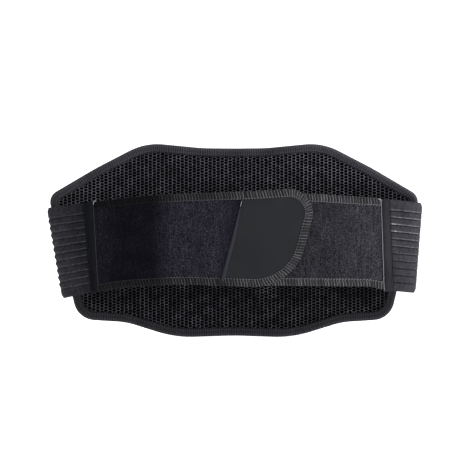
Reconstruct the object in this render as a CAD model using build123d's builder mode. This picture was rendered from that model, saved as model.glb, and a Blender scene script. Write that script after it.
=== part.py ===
"""Lumbar support belt, closed as it is worn, in millimetres.

The wearer's waist goes through the ring along +Z. The back panel curves across the +Y side and the two
front wings close across the -Y side, the left wing (at -X) lying on top of the right one. A ribbed elastic
strap is anchored on the panel's outer face on each side, wraps round the panel's end and meets its wing at
a boned seam tape. The left wing ends in a pull tab whose hook patch grips the right wing's loop pile.
The origin is in the middle of the waist opening, at half the height of the panel's middle.
"""

import os
from math import sqrt

from build123d import *

# Back panel: a stack of three layers on a gentle curve, bound all round
PANEL_RADIUS = 850.0  # outer face
PANEL_OUTER_Y = 42.0  # outer face at the middle of the back
MESH_THICKNESS = 3.0
FOAM_THICKNESS = 3.0
COVER_THICKNESS = 1.5
BINDING_WIDTH = 9.0
BINDING_PROUD = 0.9
BINDING_LIP = 1.0  # how far the binding reaches past the edge of the layers
PANEL_CORNERS = [  # half outline, X and Z, from the middle of the top edge round to the bottom edge
    (0.0, 105.0),
    (36.0, 105.3),
    (101.0, 111.4),
    (156.0, 82.4),
    (208.9, 50.3),
    (176.5, -88.0),
    (122.9, -91.8),
    (67.0, -109.6),
    (0.0, -107.5),
]
PANEL_CORNER_RADII = [300.0, 200.0, 68.0, 400.0, 13.0, 24.0, 90.0, 130.0, 400.0]

# Stays: flat spring-steel strips with plastic caps, in sewn channels on the panel's outer face
STAY_X = [-72.0, -26.0, 26.0, 72.0]
STAY_LENGTH = 170.0
STAY_WIDTH = 9.5
STAY_THICKNESS = 0.8
STAY_END_RADIUS = 4.3
STAY_LIFT = 0.5  # off the panel's outer face
CAP_LENGTH = 9.0
CAP_WALL = 0.4
CAP_END_RADIUS = 4.0
CHANNEL_LENGTH = 186.0
CHANNEL_WIDTH = 20.0
FLANGE_THICKNESS = 0.6
FLANGE_WIDTH = 2.6
CREST_WIDTH = 12.4
POCKET_LENGTH = 178.0
POCKET_WIDTH = 12.0
POCKET_DEPTH = 1.8
POCKET_WALL = 0.6

# Front wings: a knitted lining, a foam core and a loop-pile face, sewn over with an overlock edge
FRONT_CENTRE_Y = 744.0  # the wings curve about a vertical axis here
RIGHT_FACE_RADIUS = 780.0  # outer face of the right wing, the lower one
LINING_THICKNESS = 0.8
CORE_THICKNESS = 2.6
PILE_THICKNESS = 1.0
WING_THICKNESS = LINING_THICKNESS + CORE_THICKNESS + PILE_THICKNESS
OVERLOCK_WIDTH = 7.5
OVERLOCK_PROUD = 0.7
OVERLOCK_LIP = 0.6
WING_CLEARANCE = 0.3  # between the overlock edges of the two wings where they lap
LEFT_FACE_RADIUS = RIGHT_FACE_RADIUS + WING_THICKNESS + 2 * OVERLOCK_PROUD + WING_CLEARANCE

# Pull tab: hinges on the left wing along a slanting seam, with a hook patch on its inner side
TAB_SEAM = (-3.4, 0.264)  # X at Z = 0 and slope of the seam
TAB_RIB_WIDTH = 3.0
TAB_RIB_PROUD = 0.6
HOOK_THICKNESS = 1.3
HOOK_MARGIN = 15.0  # the hook patch stays this far inside the tab's outline
HOOK_FROM_SEAM = 6.0

# Seam tapes: each holds a flat plastic bone
TAPE_THICKNESS = 1.6
BONE_WIDTH = 5.0
BONE_INSET = 1.7  # from the seam line
BONE_THICKNESS = 0.9
BONE_END_GAP = 4.0

# Elastic side straps, woven flat
ELASTIC_THICKNESS = 1.6
ELASTIC_OVER_CORE = 1.2  # outer face of the strap's front end above the wing's core
ELASTIC_CLEARANCE = 0.3  # over the panel's binding
REAR_FOLD_RADIUS = 4.2
FRONT_FOLD_RADIUS = 24.0
ANCHOR_X = 105.0  # where each strap ends on the panel's outer face
ANCHOR_TAPE_WIDTH = 14.0
ANCHOR_TAPE_THICKNESS = 0.8
ANCHOR_TAPE_OVERHANG = 2.0
JOINT_GAP = 0.4  # between pieces that hinge on each other

# The two sides of the belt: sign of X, how far out the strap folds at Z = 0 and how that changes with
# height, the strap's edges at the fold and how they rise towards the front, the seam with the wing, and
# the width of the tape over that seam at its two ends
LEFT = {
    "sign": -1,
    "fold_x": 204.2,
    "fold_slope": 0.174,
    "edge_top": (210.7, 37.0),
    "edge_bottom": (193.1, -64.3),
    "rise_top": 0.12,
    "rise_bottom": 0.21,
    "seam_top": (168.0, 42.2),
    "seam_bottom": (158.6, -57.0),
    "tape_top": 12.2,
    "tape_bottom": 8.6,
    "face_radius": LEFT_FACE_RADIUS,
}
RIGHT = {
    "sign": 1,
    "fold_x": 209.8,
    "fold_slope": 0.08,
    "edge_top": (213.0, 42.7),
    "edge_bottom": (205.0, -58.6),
    "rise_top": 0.10,
    "rise_bottom": 0.10,
    "seam_top": (173.4, 46.5),
    "seam_bottom": (177.8, -55.3),
    "tape_top": 10.0,
    "tape_bottom": 11.0,
    "face_radius": RIGHT_FACE_RADIUS,
}

# Outlines of the left wing with its tab, and of the right wing, in X and Z
LEFT_CORNERS = [
    (-168.0, 42.2),
    (-92.0, 50.3),
    (20.0, 54.2),
    (95.0, 59.2),
    (65.3, -51.3),
    (-60.0, -46.9),
    (-118.0, -50.6),
    (-158.6, -57.0),
]
LEFT_CORNER_RADII = [0.0, 400.0, 300.0, 26.0, 57.0, 300.0, 120.0, 0.0]
RIGHT_CORNERS = [(173.4, 46.5), (88.0, 51.7), (-30.0, 52.2), (-30.0, -47.9), (148.0, -49.8), (177.8, -55.3)]
RIGHT_CORNER_RADII = [0.0, 300.0, 10.0, 10.0, 60.0, 0.0]

REACH = 160.0  # past the end of every piece, for cutting
STRAP_LEVELS = (-90.0, 90.0)  # heights between which each strap's surface is drawn
STRAP_FRONT_X = 130.0  # past the seam, where the strap is cut off
STRAP_FAR_X = 240.0  # past the outermost point of both straps
PANEL_CENTRE_Y = PANEL_OUTER_Y - PANEL_RADIUS
PANEL_THICKNESS = MESH_THICKNESS + FOAM_THICKNESS + COVER_THICKNESS
PANEL_INNER_RADIUS = PANEL_RADIUS - PANEL_THICKNESS

os.makedirs("parts", exist_ok=True)


def write(part, name):
    """Labels a finished piece and writes it as its own STEP."""
    part.label = name
    export_step(part, f"parts/{name}.step")


def rounded(corners, radii):
    """A closed outline in X and Z with its own radius at each corner, 0 for a sharp one."""
    with BuildSketch(Plane.XZ) as shape:
        with BuildLine():
            Polyline(*corners, close=True)
        make_face()
        for (x, z), radius in zip(corners, radii):
            if radius:
                fillet(shape.vertices().sort_by_distance((x, z, 0))[0], radius)
    return shape.sketch_local


def grown(outline, amount):
    """The outline moved outwards, or inwards for a negative amount."""
    with BuildSketch(Plane.XZ) as moved:
        add(outline)
        offset(amount=amount)
    return moved.sketch_local


def common(*outlines):
    """What all the outlines cover."""
    with BuildSketch(Plane.XZ) as shared:
        add(outlines[0])
        for outline in outlines[1:]:
            add(outline, mode=Mode.INTERSECT)
    return shared.sketch_local


def moved(line, amount):
    """A slanting line, given as X at Z = 0 and slope, moved along X."""
    return line[0] + amount, line[1]


def between(one, other, low=-REACH, high=REACH):
    """The area between two slanting lines."""
    left, right = sorted((one, other))
    corners = []
    for line, z in ((left, high), (right, high), (right, low), (left, low)):
        corners.append((line[0] + line[1] * z, z))
    with BuildSketch(Plane.XZ) as area:
        with BuildLine():
            Polyline(*corners, close=True)
        make_face()
    return area.sketch_local


def swept(outline, back):
    """The outline, drawn in X and Z, as a solid through the back (+Y) or front (-Y) half of the belt."""
    with BuildPart() as prism:
        with BuildSketch(Plane.XZ):
            add(outline)
        extrude(amount=-REACH if back else REACH)
    return prism.part


def curved(outline, inner, outer, back):
    """A layer between two radii of the back panel's or the front wings' curve, cut to an outline."""
    with BuildPart() as layer:
        with BuildSketch(Plane.XY.offset(-REACH)):
            with Locations((0, PANEL_CENTRE_Y if back else FRONT_CENTRE_Y)):
                Circle(outer)
                Circle(inner, mode=Mode.SUBTRACT)
        extrude(amount=2 * REACH)
        add(swept(outline, back), mode=Mode.INTERSECT)
    return layer.part


def edging(outline, inner, outer, proud, lip, width, back):
    """An edge folded over a stack of layers: width wide on both faces and reaching lip past its end."""
    with BuildPart() as edge:
        add(curved(grown(outline, lip), inner - proud, outer + proud, back))
        add(curved(outline, inner, outer, back), mode=Mode.SUBTRACT)
        add(swept(grown(outline, -width), back), mode=Mode.SUBTRACT)
    return edge.part


def trimmed(part, outline, back):
    """The piece cut to an outline."""
    with BuildPart() as rest:
        add(part)
        add(swept(outline, back), mode=Mode.INTERSECT)
    return rest.part


def line_through(side, top_x, bottom_x):
    """The slanting line through two distances from the middle, at the two ends of a side's front seam."""
    z_top, z_bottom = side["seam_top"][1], side["seam_bottom"][1]
    slope = (top_x - bottom_x) / (z_top - z_bottom)
    return side["sign"] * (top_x - slope * z_top), side["sign"] * slope


def seam_line(side):
    """Where a side's strap meets its wing, under the tape's outer edge."""
    return line_through(side, side["seam_top"][0], side["seam_bottom"][0])


def tape_line(side):
    """The tape's inner edge."""
    top_x = side["seam_top"][0] - side["tape_top"]
    bottom_x = side["seam_bottom"][0] - side["tape_bottom"]
    return line_through(side, top_x, bottom_x)


def inward_of(line, side, width=2 * REACH, low=-REACH, high=REACH):
    """The area beside a line, towards the belt's middle."""
    return between(line, moved(line, -side["sign"] * width), low, high)


def strap_area(side, inner_x, margin=0.0):
    """A strap's outline in X and Z, from its slanting edges, out from inner_x."""
    (x_top, z_top), (x_bottom, z_bottom) = side["edge_top"], side["edge_bottom"]
    top = (x_top, z_top + margin, side["rise_top"])
    bottom = (x_bottom, z_bottom - margin, side["rise_bottom"])
    ends = (inner_x, STRAP_FAR_X)
    points = []
    for (edge_x, edge_z, rise), xs in ((top, ends), (bottom, ends[::-1])):
        points += [(side["sign"] * x, edge_z + rise * (edge_x - x)) for x in xs]
    with BuildSketch(Plane.XZ) as area:
        with BuildLine():
            Polyline(*points, close=True)
        make_face()
    return area.sketch_local


def strap_path(side, z, depth):
    """Draws a strap's path in plan at height z, as far under its outer face as depth says."""
    rear_radius = PANEL_RADIUS + BINDING_PROUD + ELASTIC_CLEARANCE + ELASTIC_THICKNESS
    front_radius = side["face_radius"] - PILE_THICKNESS + ELASTIC_OVER_CORE
    outermost = side["fold_x"] + side["fold_slope"] * z
    rear_x = outermost - REAR_FOLD_RADIUS
    front_x = outermost - FRONT_FOLD_RADIUS
    rear_reach = sqrt((rear_radius - REAR_FOLD_RADIUS) ** 2 - rear_x**2)
    front_reach = sqrt((front_radius - FRONT_FOLD_RADIUS) ** 2 - front_x**2)
    rear_fold = Vector(rear_x, PANEL_CENTRE_Y + rear_reach)
    front_fold = Vector(front_x, FRONT_CENTRE_Y - front_reach)
    panel_centre = Vector(0, PANEL_CENTRE_Y)
    front_centre = Vector(0, FRONT_CENTRE_Y)
    anchor = Vector(ANCHOR_X, sqrt(rear_radius**2 - ANCHOR_X**2)).normalized()
    cut_end = Vector(STRAP_FRONT_X, -sqrt(front_radius**2 - STRAP_FRONT_X**2)).normalized()
    rear_tangent = (rear_fold - panel_centre).normalized()
    front_tangent = (front_fold - front_centre).normalized()
    outward = Vector(1, 0)
    ends = []
    for centre, radius, first, last in (
        (panel_centre, rear_radius, anchor, rear_tangent),
        (rear_fold, REAR_FOLD_RADIUS, rear_tangent, outward),
        (front_fold, FRONT_FOLD_RADIUS, outward, front_tangent),
        (front_centre, front_radius, front_tangent, cut_end),
    ):
        points = []
        for direction in (first, (first + last).normalized(), last):
            point = centre + direction * (radius - depth)
            points.append((side["sign"] * point.X, point.Y))
        ThreePointArc(*points)
        ends += [points[0], points[2]]
    Line(ends[3], ends[4])
    return ends[0], ends[-1]


def strap_section(side, z):
    """A strap's section in plan at height z."""
    with BuildSketch(Plane.XY.offset(z)) as section:
        with BuildLine():
            outer_start, outer_end = strap_path(side, z, 0.0)
            inner_start, inner_end = strap_path(side, z, ELASTIC_THICKNESS)
            Line(outer_start, inner_start)
            Line(outer_end, inner_end)
        make_face()
    return section.sketch


def strap(side):
    """An elastic strap, from its anchor on the panel round the fold to its seam with the wing."""
    area = strap_area(side, 0.0)
    with BuildPart() as band:
        loft([strap_section(side, z) for z in STRAP_LEVELS], ruled=True)
        add(swept(area, True) + swept(area, False), mode=Mode.INTERSECT)
        past_seam = moved(seam_line(side), side["sign"] * JOINT_GAP)
        add(swept(inward_of(past_seam, side, REACH), back=False), mode=Mode.SUBTRACT)
    return band.part


def anchor_tape(side, band):
    """The folded tape that binds a strap's rear end and sews it to the panel's outer face."""
    top = PANEL_RADIUS + BINDING_PROUD + ELASTIC_CLEARANCE + ELASTIC_THICKNESS + ANCHOR_TAPE_THICKNESS
    near = ANCHOR_X - ANCHOR_TAPE_THICKNESS
    outer_line = (side["sign"] * (near + ANCHOR_TAPE_WIDTH), 0.0)
    area = common(
        strap_area(side, near - ANCHOR_TAPE_OVERHANG, ANCHOR_TAPE_OVERHANG),
        inward_of(outer_line, side, ANCHOR_TAPE_WIDTH),
    )
    with BuildPart() as tape:
        add(curved(area, PANEL_RADIUS, top, back=True))
        add(band, mode=Mode.SUBTRACT)
    return tape.part


def stay_plane(x):
    """A plane on the panel's outer face at x, facing outwards with its Y upright."""
    reach = sqrt(PANEL_RADIUS**2 - x**2)
    return Plane(origin=(x, PANEL_CENTRE_Y + reach, 0), x_dir=(-reach, x, 0), z_dir=(x, reach, 0))


def stay_set(number, x):
    """A steel stay, the caps on its two ends and the sewn channel that holds it."""
    plane = stay_plane(x)
    with BuildPart() as stay:
        with BuildSketch(plane.offset(STAY_LIFT)):
            RectangleRounded(STAY_WIDTH, STAY_LENGTH, STAY_END_RADIUS)
        extrude(amount=STAY_THICKNESS)
    write(stay.part, f"stay_{number}")

    for end, direction in (("top", 1), ("bottom", -1)):
        middle = direction * (STAY_LENGTH / 2 + CAP_WALL - CAP_LENGTH / 2)
        with BuildPart() as cap:
            with BuildSketch(plane.offset(STAY_LIFT - CAP_WALL)):
                with Locations((0, middle)):
                    RectangleRounded(STAY_WIDTH + 2 * CAP_WALL, CAP_LENGTH, CAP_END_RADIUS)
            extrude(amount=STAY_THICKNESS + 2 * CAP_WALL)
            add(stay.part, mode=Mode.SUBTRACT)
        write(cap.part, f"stay_{number}_{end}_cap")

    half = CHANNEL_WIDTH / 2
    shoulder = half - FLANGE_WIDTH
    crest = CREST_WIDTH / 2
    height = POCKET_DEPTH + POCKET_WALL
    section = Plane(origin=plane.origin - (0, 0, CHANNEL_LENGTH / 2), x_dir=plane.x_dir, z_dir=(0, 0, 1))
    with BuildPart() as channel:
        with BuildSketch(section):
            with BuildLine():
                Polyline(
                    (-half, 0),
                    (half, 0),
                    (half, -FLANGE_THICKNESS),
                    (shoulder, -FLANGE_THICKNESS),
                    (crest, -height),
                    (-crest, -height),
                    (-shoulder, -FLANGE_THICKNESS),
                    (-half, -FLANGE_THICKNESS),
                    close=True,
                )
            make_face()
        extrude(amount=CHANNEL_LENGTH)
        with BuildSketch(plane):
            Rectangle(POCKET_WIDTH, POCKET_LENGTH)
        extrude(amount=POCKET_DEPTH, mode=Mode.SUBTRACT)
    write(channel.part, f"stay_channel_{number}")


def seam_tape(side, wing_outline, name):
    """The raised tape over the seam of a strap and its wing, and the flat bone inside it."""
    face = side["face_radius"]
    lift = (TAPE_THICKNESS - BONE_THICKNESS) / 2
    low = side["seam_bottom"][1] + BONE_END_GAP
    high = side["seam_top"][1] - BONE_END_GAP
    bone_line = moved(seam_line(side), -side["sign"] * BONE_INSET)
    bone_area = inward_of(bone_line, side, BONE_WIDTH, low, high)
    tape_area = common(wing_outline, between(seam_line(side), tape_line(side)))
    bone = curved(bone_area, face + lift, face + lift + BONE_THICKNESS, False)
    with BuildPart() as tape:
        add(curved(tape_area, face, face + TAPE_THICKNESS, False))
        add(bone, mode=Mode.SUBTRACT)
    write(tape.part, f"{name}_seam_tape")
    write(bone, f"{name}_seam_bone")


def wing_layers(outline, face, name, top_layer):
    """A lining, a core and a face on top of each other, cut to one outline."""
    radius = face - WING_THICKNESS
    for layer, thickness in (
        ("lining", LINING_THICKNESS),
        ("core", CORE_THICKNESS),
        (top_layer, PILE_THICKNESS),
    ):
        write(curved(outline, radius, radius + thickness, False), f"{name}_{layer}")
        radius += thickness


def overlock(outline, face):
    """The overlocked edge all round a wing's outline."""
    return edging(outline, face - WING_THICKNESS, face, OVERLOCK_PROUD, OVERLOCK_LIP, OVERLOCK_WIDTH, False)


# Back panel
half_outline = list(zip(PANEL_CORNERS, PANEL_CORNER_RADII))
mirrored_half = [((-x, z), radius) for (x, z), radius in reversed(half_outline[1:-1])]
panel_corners, panel_radii = zip(*(half_outline + mirrored_half))
panel_outline = rounded(panel_corners, panel_radii)
layer_radius = PANEL_INNER_RADIUS
for layer_name, layer_thickness in (
    ("panel_mesh", MESH_THICKNESS),
    ("panel_foam", FOAM_THICKNESS),
    ("panel_cover", COVER_THICKNESS),
):
    write(curved(panel_outline, layer_radius, layer_radius + layer_thickness, True), layer_name)
    layer_radius += layer_thickness
panel_edge = edging(
    panel_outline, PANEL_INNER_RADIUS, PANEL_RADIUS, BINDING_PROUD, BINDING_LIP, BINDING_WIDTH, back=True
)
write(panel_edge, "panel_binding")
for stay_number, stay_x in enumerate(STAY_X, start=1):
    stay_set(stay_number, stay_x)

# Elastic straps
for side_name, belt_side in (("left", LEFT), ("right", RIGHT)):
    strap_band = strap(belt_side)
    write(strap_band, f"{side_name}_elastic")
    write(anchor_tape(belt_side, strap_band), f"{side_name}_anchor_tape")

# Right wing, with one overlocked edge round its top, its free end and its bottom
right_outline = rounded(RIGHT_CORNERS, RIGHT_CORNER_RADII)
wing_layers(right_outline, RIGHT_FACE_RADIUS, "right_wing", "pile")
seam_tape(RIGHT, right_outline, "right_wing")
write(
    trimmed(overlock(right_outline, RIGHT_FACE_RADIUS), inward_of(tape_line(RIGHT), RIGHT), False),
    "right_wing_overlock",
)

# Left wing as far as the tab's seam, overlocked along its top and its bottom
left_outline = rounded(LEFT_CORNERS, LEFT_CORNER_RADII)
before_seam = between(moved(TAB_SEAM, -2 * REACH), moved(TAB_SEAM, -JOINT_GAP / 2))
after_seam = between(moved(TAB_SEAM, JOINT_GAP / 2), moved(TAB_SEAM, REACH))
left_wing_outline = common(left_outline, before_seam)
left_edge = overlock(left_outline, LEFT_FACE_RADIUS)
wing_layers(left_wing_outline, LEFT_FACE_RADIUS, "left_wing", "pile")
seam_tape(LEFT, left_outline, "left_wing")
for edge_name, edge_low, edge_high in (("top", 0.0, REACH), ("bottom", -REACH, 0.0)):
    edge_area = common(inward_of(tape_line(LEFT), LEFT, 2 * REACH, edge_low, edge_high), before_seam)
    write(trimmed(left_edge, edge_area, False), f"left_wing_{edge_name}_overlock")

# Pull tab, overlocked round its end, with a raised rib along its seam and the hook patch inside
tab_outline = common(left_outline, after_seam)
wing_layers(tab_outline, LEFT_FACE_RADIUS, "tab", "face")
write(trimmed(left_edge, after_seam, False), "tab_overlock")
rib_strip = between(moved(TAB_SEAM, JOINT_GAP / 2), moved(TAB_SEAM, JOINT_GAP / 2 + TAB_RIB_WIDTH))
rib_area = common(grown(left_outline, -OVERLOCK_WIDTH), rib_strip)
write(curved(rib_area, LEFT_FACE_RADIUS, LEFT_FACE_RADIUS + TAB_RIB_PROUD, False), "tab_rib")
past_rib = between(moved(TAB_SEAM, HOOK_FROM_SEAM), moved(TAB_SEAM, REACH))
hook_area = common(grown(left_outline, -HOOK_MARGIN), past_rib)
hook_outer = LEFT_FACE_RADIUS - WING_THICKNESS
write(curved(hook_area, hook_outer - HOOK_THICKNESS, hook_outer, False), "tab_hook")
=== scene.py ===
"""A lumbar support belt, closed as it is worn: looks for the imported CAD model.

Lengths are in millimetres up to place(), which turns them into the frame's metres.
"""

import math

import bmesh
import bpy
import numpy as np
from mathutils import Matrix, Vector
from mathutils.geometry import delaunay_2d_cdt


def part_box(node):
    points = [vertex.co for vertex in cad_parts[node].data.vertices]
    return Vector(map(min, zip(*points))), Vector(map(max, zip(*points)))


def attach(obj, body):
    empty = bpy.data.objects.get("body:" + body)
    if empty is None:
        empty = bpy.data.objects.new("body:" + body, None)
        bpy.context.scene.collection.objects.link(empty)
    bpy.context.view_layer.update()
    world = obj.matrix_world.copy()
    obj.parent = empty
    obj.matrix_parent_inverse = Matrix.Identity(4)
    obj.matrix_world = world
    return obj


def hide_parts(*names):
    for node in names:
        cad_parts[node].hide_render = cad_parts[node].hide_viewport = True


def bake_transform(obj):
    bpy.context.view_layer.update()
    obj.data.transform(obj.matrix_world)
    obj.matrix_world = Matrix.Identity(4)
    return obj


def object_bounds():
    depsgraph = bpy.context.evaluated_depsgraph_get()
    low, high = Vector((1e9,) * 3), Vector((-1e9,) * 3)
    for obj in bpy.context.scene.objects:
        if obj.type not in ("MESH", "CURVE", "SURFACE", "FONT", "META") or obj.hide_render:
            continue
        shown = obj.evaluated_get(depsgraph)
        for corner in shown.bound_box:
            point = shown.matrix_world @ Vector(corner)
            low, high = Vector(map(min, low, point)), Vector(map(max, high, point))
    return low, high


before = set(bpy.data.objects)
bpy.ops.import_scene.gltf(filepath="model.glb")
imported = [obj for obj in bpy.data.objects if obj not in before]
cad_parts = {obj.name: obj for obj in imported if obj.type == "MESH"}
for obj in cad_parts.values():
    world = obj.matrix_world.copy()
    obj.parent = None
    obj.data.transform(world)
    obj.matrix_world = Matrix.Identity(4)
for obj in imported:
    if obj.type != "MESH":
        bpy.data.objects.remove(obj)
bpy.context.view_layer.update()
rng = np.random.default_rng(7)

MM = 0.001

# Curved surfaces, as the CAD has them: (Y of the vertical axis, side of it, radius at half the thickness)
PANEL = (-808.0, 1, 846.25)
RIGHT = (744.0, -1, 777.8)
LEFT = (744.0, -1, 783.9)
PANEL_HALF = 3.75
WING_HALF = 2.2
TAB_LINE = (-3.4, 0.264)  # the tab's seam, as X at Z = 0 and slope

PANEL_CORNERS = [
    (0, 105), (36, 105.3), (101, 111.4), (156, 82.4), (208.9, 50.3), (176.5, -88), (122.9, -91.8), (67, -109.6),
    (0, -107.5),
]
PANEL_RADII = [300, 200, 68, 400, 13, 24, 90, 130, 400]
LEFT_CORNERS = [
    (-168, 42.2), (-92, 50.3), (20, 54.2), (95, 59.2), (65.3, -51.3), (-60, -46.9), (-118, -50.6),
    (-158.6, -57),
]
LEFT_RADII = [0, 400, 300, 26, 57, 300, 120, 0]
RIGHT_CORNERS = [(173.4, 46.5), (88, 51.7), (-30, 52.2), (-30, -47.9), (148, -49.8), (177.8, -55.3)]
RIGHT_RADII = [0, 300, 10, 10, 60, 0]

STRAPS = {
    "left": dict(
        sign=-1, fold_x=204.2, fold_slope=0.174, edge_top=(210.7, 37.0), edge_bottom=(193.1, -64.3),
        rise_top=0.12, rise_bottom=0.21, seam_top=(168.0, 42.2), seam_bottom=(158.6, -57.0), tape=(12.2, 8.6),
        front=786.3,
    ),
    "right": dict(
        sign=1, fold_x=209.8, fold_slope=0.08, edge_top=(213.0, 42.7), edge_bottom=(205.0, -58.6),
        rise_top=0.10, rise_bottom=0.10, seam_top=(173.4, 46.5), seam_bottom=(177.8, -55.3), tape=(10.0, 11.0),
        front=780.2,
    ),
}
# A strap in plan: its radius over the panel and at its two turns, and where its rear end is sewn
REAR_RADIUS = 852.8
REAR_TURN = 4.2
FRONT_TURN = 24.0
ANCHOR_X = 105.0
STRAP_THICKNESS = 1.6
STRAP_WIDTH = 100.0


# ---- plane outlines

def divided(loop, step):
    """A closed loop with points at most step apart, its own corners kept."""
    out = []
    for a, b in zip(loop, np.roll(loop, -1, 0)):
        n = max(1, math.ceil(np.linalg.norm(b - a) / step))
        out += [a + (b - a) * k / n for k in range(n)]
    return np.array(out)


def rounded(corners, radii, step=1.5):
    """A closed outline with a radius at each corner."""
    corners = np.array(corners, float)
    out = []
    for i, (corner, radius) in enumerate(zip(corners, radii)):
        to_last = corners[i - 1] - corner
        to_next = corners[(i + 1) % len(corners)] - corner
        to_last /= np.linalg.norm(to_last)
        to_next /= np.linalg.norm(to_next)
        if not radius:
            out.append(corner)
            continue
        half = math.acos(np.clip(to_last @ to_next, -1, 1)) / 2
        bisector = (to_last + to_next) / np.linalg.norm(to_last + to_next)
        centre = corner + bisector * radius / math.sin(half)
        tangent = radius / math.tan(half)
        first = corner + to_last * tangent - centre
        last = corner + to_next * tangent - centre
        n = max(2, math.ceil(radius * (math.pi - 2 * half) / step))
        for k in range(n + 1):
            direction = first * (n - k) + last * k
            # equal steps of the chord are near enough to equal angles on these arcs
            out.append(centre + direction / np.linalg.norm(direction) * radius)
    return divided(np.array(out), step)


def clipped(loop, line, side):
    """The part of a closed outline on one side (-1 left, 1 right) of the line X = line[0] + line[1] * Z."""
    depth = (loop[:, 0] - line[0] - line[1] * loop[:, 1]) * side
    out = []
    for i in range(len(loop)):
        j = (i + 1) % len(loop)
        if depth[i] >= 0:
            out.append(loop[i])
        if (depth[i] >= 0) != (depth[j] >= 0):
            out.append(loop[i] + (loop[j] - loop[i]) * depth[i] / (depth[i] - depth[j]))
    return divided(np.array(out), 2.0)


def area_of(loop):
    x, z = loop[:, 0], loop[:, 1]
    return 0.5 * np.sum(x * np.roll(z, -1) - np.roll(x, -1) * z)


def inside(points, loop):
    x, z = points[:, :1], points[:, 1:]
    x1, z1 = loop[:, 0], loop[:, 1]
    x2, z2 = np.roll(x1, -1), np.roll(z1, -1)
    with np.errstate(divide="ignore", invalid="ignore"):
        cross = ((z1 > z) != (z2 > z)) & (x < (x2 - x1) * (z - z1) / (z2 - z1) + x1)
    return cross.sum(1) % 2 == 1


def distance(points, path, closed=True):
    """How far points are from a polyline."""
    a = path if closed else path[:-1]
    b = np.roll(path, -1, 0) if closed else path[1:]
    run = b - a
    length = np.maximum((run**2).sum(1), 1e-12)
    out = np.empty(len(points))
    for start in range(0, len(points), 3000):
        part = points[start:start + 3000, None, :]
        t = np.clip(((part - a) * run).sum(2) / length, 0, 1)
        out[start:start + 3000] = np.sqrt((((a + t[:, :, None] * run) - part) ** 2).sum(2).min(1))
    return out


def patch(loop, step):
    """A triangle mesh that fills an outline: its points, the outline's first, and its triangles."""
    low, high = loop.min(0), loop.max(0)
    xs = np.arange(low[0] + step / 2, high[0], step)
    zs = np.arange(low[1] + step / 2, high[1], step)
    grid = np.array(np.meshgrid(xs, zs)).reshape(2, -1).T
    grid = grid[inside(grid, loop)]
    grid = grid[distance(grid, loop) > 0.55 * step]
    points = np.vstack([loop, grid])
    edges = [(i, (i + 1) % len(loop)) for i in range(len(loop))]
    made = delaunay_2d_cdt([Vector(p) for p in points], edges, [], 1, 1e-7)
    return np.array([v[:] for v in made[0]]), [tuple(f) for f in made[2]]


class Path:
    """A polyline with its lengths and inward normals, read at any distance along it."""

    def __init__(self, points, closed=False, inward=1):
        self.closed = closed
        self.points = np.vstack([points, points[:1]]) if closed else points
        steps = np.linalg.norm(np.diff(self.points, axis=0), axis=1)
        self.s = np.concatenate([[0], np.cumsum(steps)])
        self.length = self.s[-1]
        run = np.gradient(self.points, axis=0)
        if closed:
            run[0] = run[-1] = self.points[1] - self.points[-2]
        run /= np.linalg.norm(run, axis=1)[:, None]
        self.normals = np.stack([-run[:, 1], run[:, 0]], 1) * inward

    def at(self, s, d=0.0):
        """Points s along the path and d inwards from it."""
        s = np.mod(s, self.length) if self.closed else np.clip(s, 0, self.length)
        point = np.stack([np.interp(s, self.s, self.points[:, k]) for k in (0, 1)], -1)
        normal = np.stack([np.interp(s, self.s, self.normals[:, k]) for k in (0, 1)], -1)
        return point + normal * np.asarray(d)[..., None]


# ---- surfaces and meshes

def place(surface, x, z, h):
    """Points on a curved surface, h outwards from its middle, in metres."""
    centre, side, radius = surface
    y = centre + side * np.sqrt((radius + h) ** 2 - x**2)
    return np.stack(np.broadcast_arrays(x, y, z), -1) * MM


def smooth(t):
    t = np.clip(t, 0, 1)
    return t * t * (3 - 2 * t)


def wave(points, size, seed, octaves=2):
    """Smooth random height, about -1 to 1, over plane points."""
    local = np.random.default_rng(seed)
    total = np.zeros(points.shape[:-1])
    for octave in range(octaves):
        for _ in range(5):
            angle, phase = local.uniform(0, 2 * math.pi, 2)
            k = 2 * math.pi / (size * local.uniform(0.7, 1.4)) * 2**octave
            across = points[..., 0] * math.cos(angle) + points[..., 1] * math.sin(angle)
            total += np.sin(k * across + phase) / 2**octave
    return total / 4.5


def made(name, verts, faces, material, weave=None, shade=None, closed=True):
    """A mesh object. weave gives each point's place in the cloth in mm, shade a number for its material."""
    mesh = bpy.data.meshes.new(name)
    mesh.from_pydata(np.asarray(verts).reshape(-1, 3).tolist(), [], [tuple(int(i) for i in f) for f in faces])
    if closed:
        bm = bmesh.new()
        bm.from_mesh(mesh)
        bmesh.ops.recalc_face_normals(bm, faces=bm.faces[:])
        bm.to_mesh(mesh)
        bm.free()
    mesh.polygons.foreach_set("use_smooth", [True] * len(mesh.polygons))
    for label, kind, field, values in (
        ("weave", "FLOAT_VECTOR", "vector", weave), ("shade", "FLOAT", "value", shade),
    ):
        if values is not None:
            data = mesh.attributes.new(label, kind, "POINT")
            data.data.foreach_set(field, np.asarray(values, np.float32).ravel())
    mesh.materials.append(material)
    piece = bpy.data.objects.new(name, mesh)
    bpy.context.scene.collection.objects.link(piece)
    return piece


def dressed(piece, node=None, body=None):
    """Hides the CAD node that the piece replaces and gives the piece its body, where one is named."""
    if body:
        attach(piece, body)
    if node:
        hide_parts(node)
    return piece


def grid_faces(rows, columns, wrap_rows=False, wrap_columns=False, start=0):
    """Quads over a grid of points stored row by row."""
    faces = []
    for i in range(rows if wrap_rows else rows - 1):
        for j in range(columns if wrap_columns else columns - 1):
            a, b = i * columns + j, i * columns + (j + 1) % columns
            c, d = ((i + 1) % rows) * columns + (j + 1) % columns, ((i + 1) % rows) * columns + j
            faces.append((start + a, start + b, start + c, start + d))
    return faces


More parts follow.
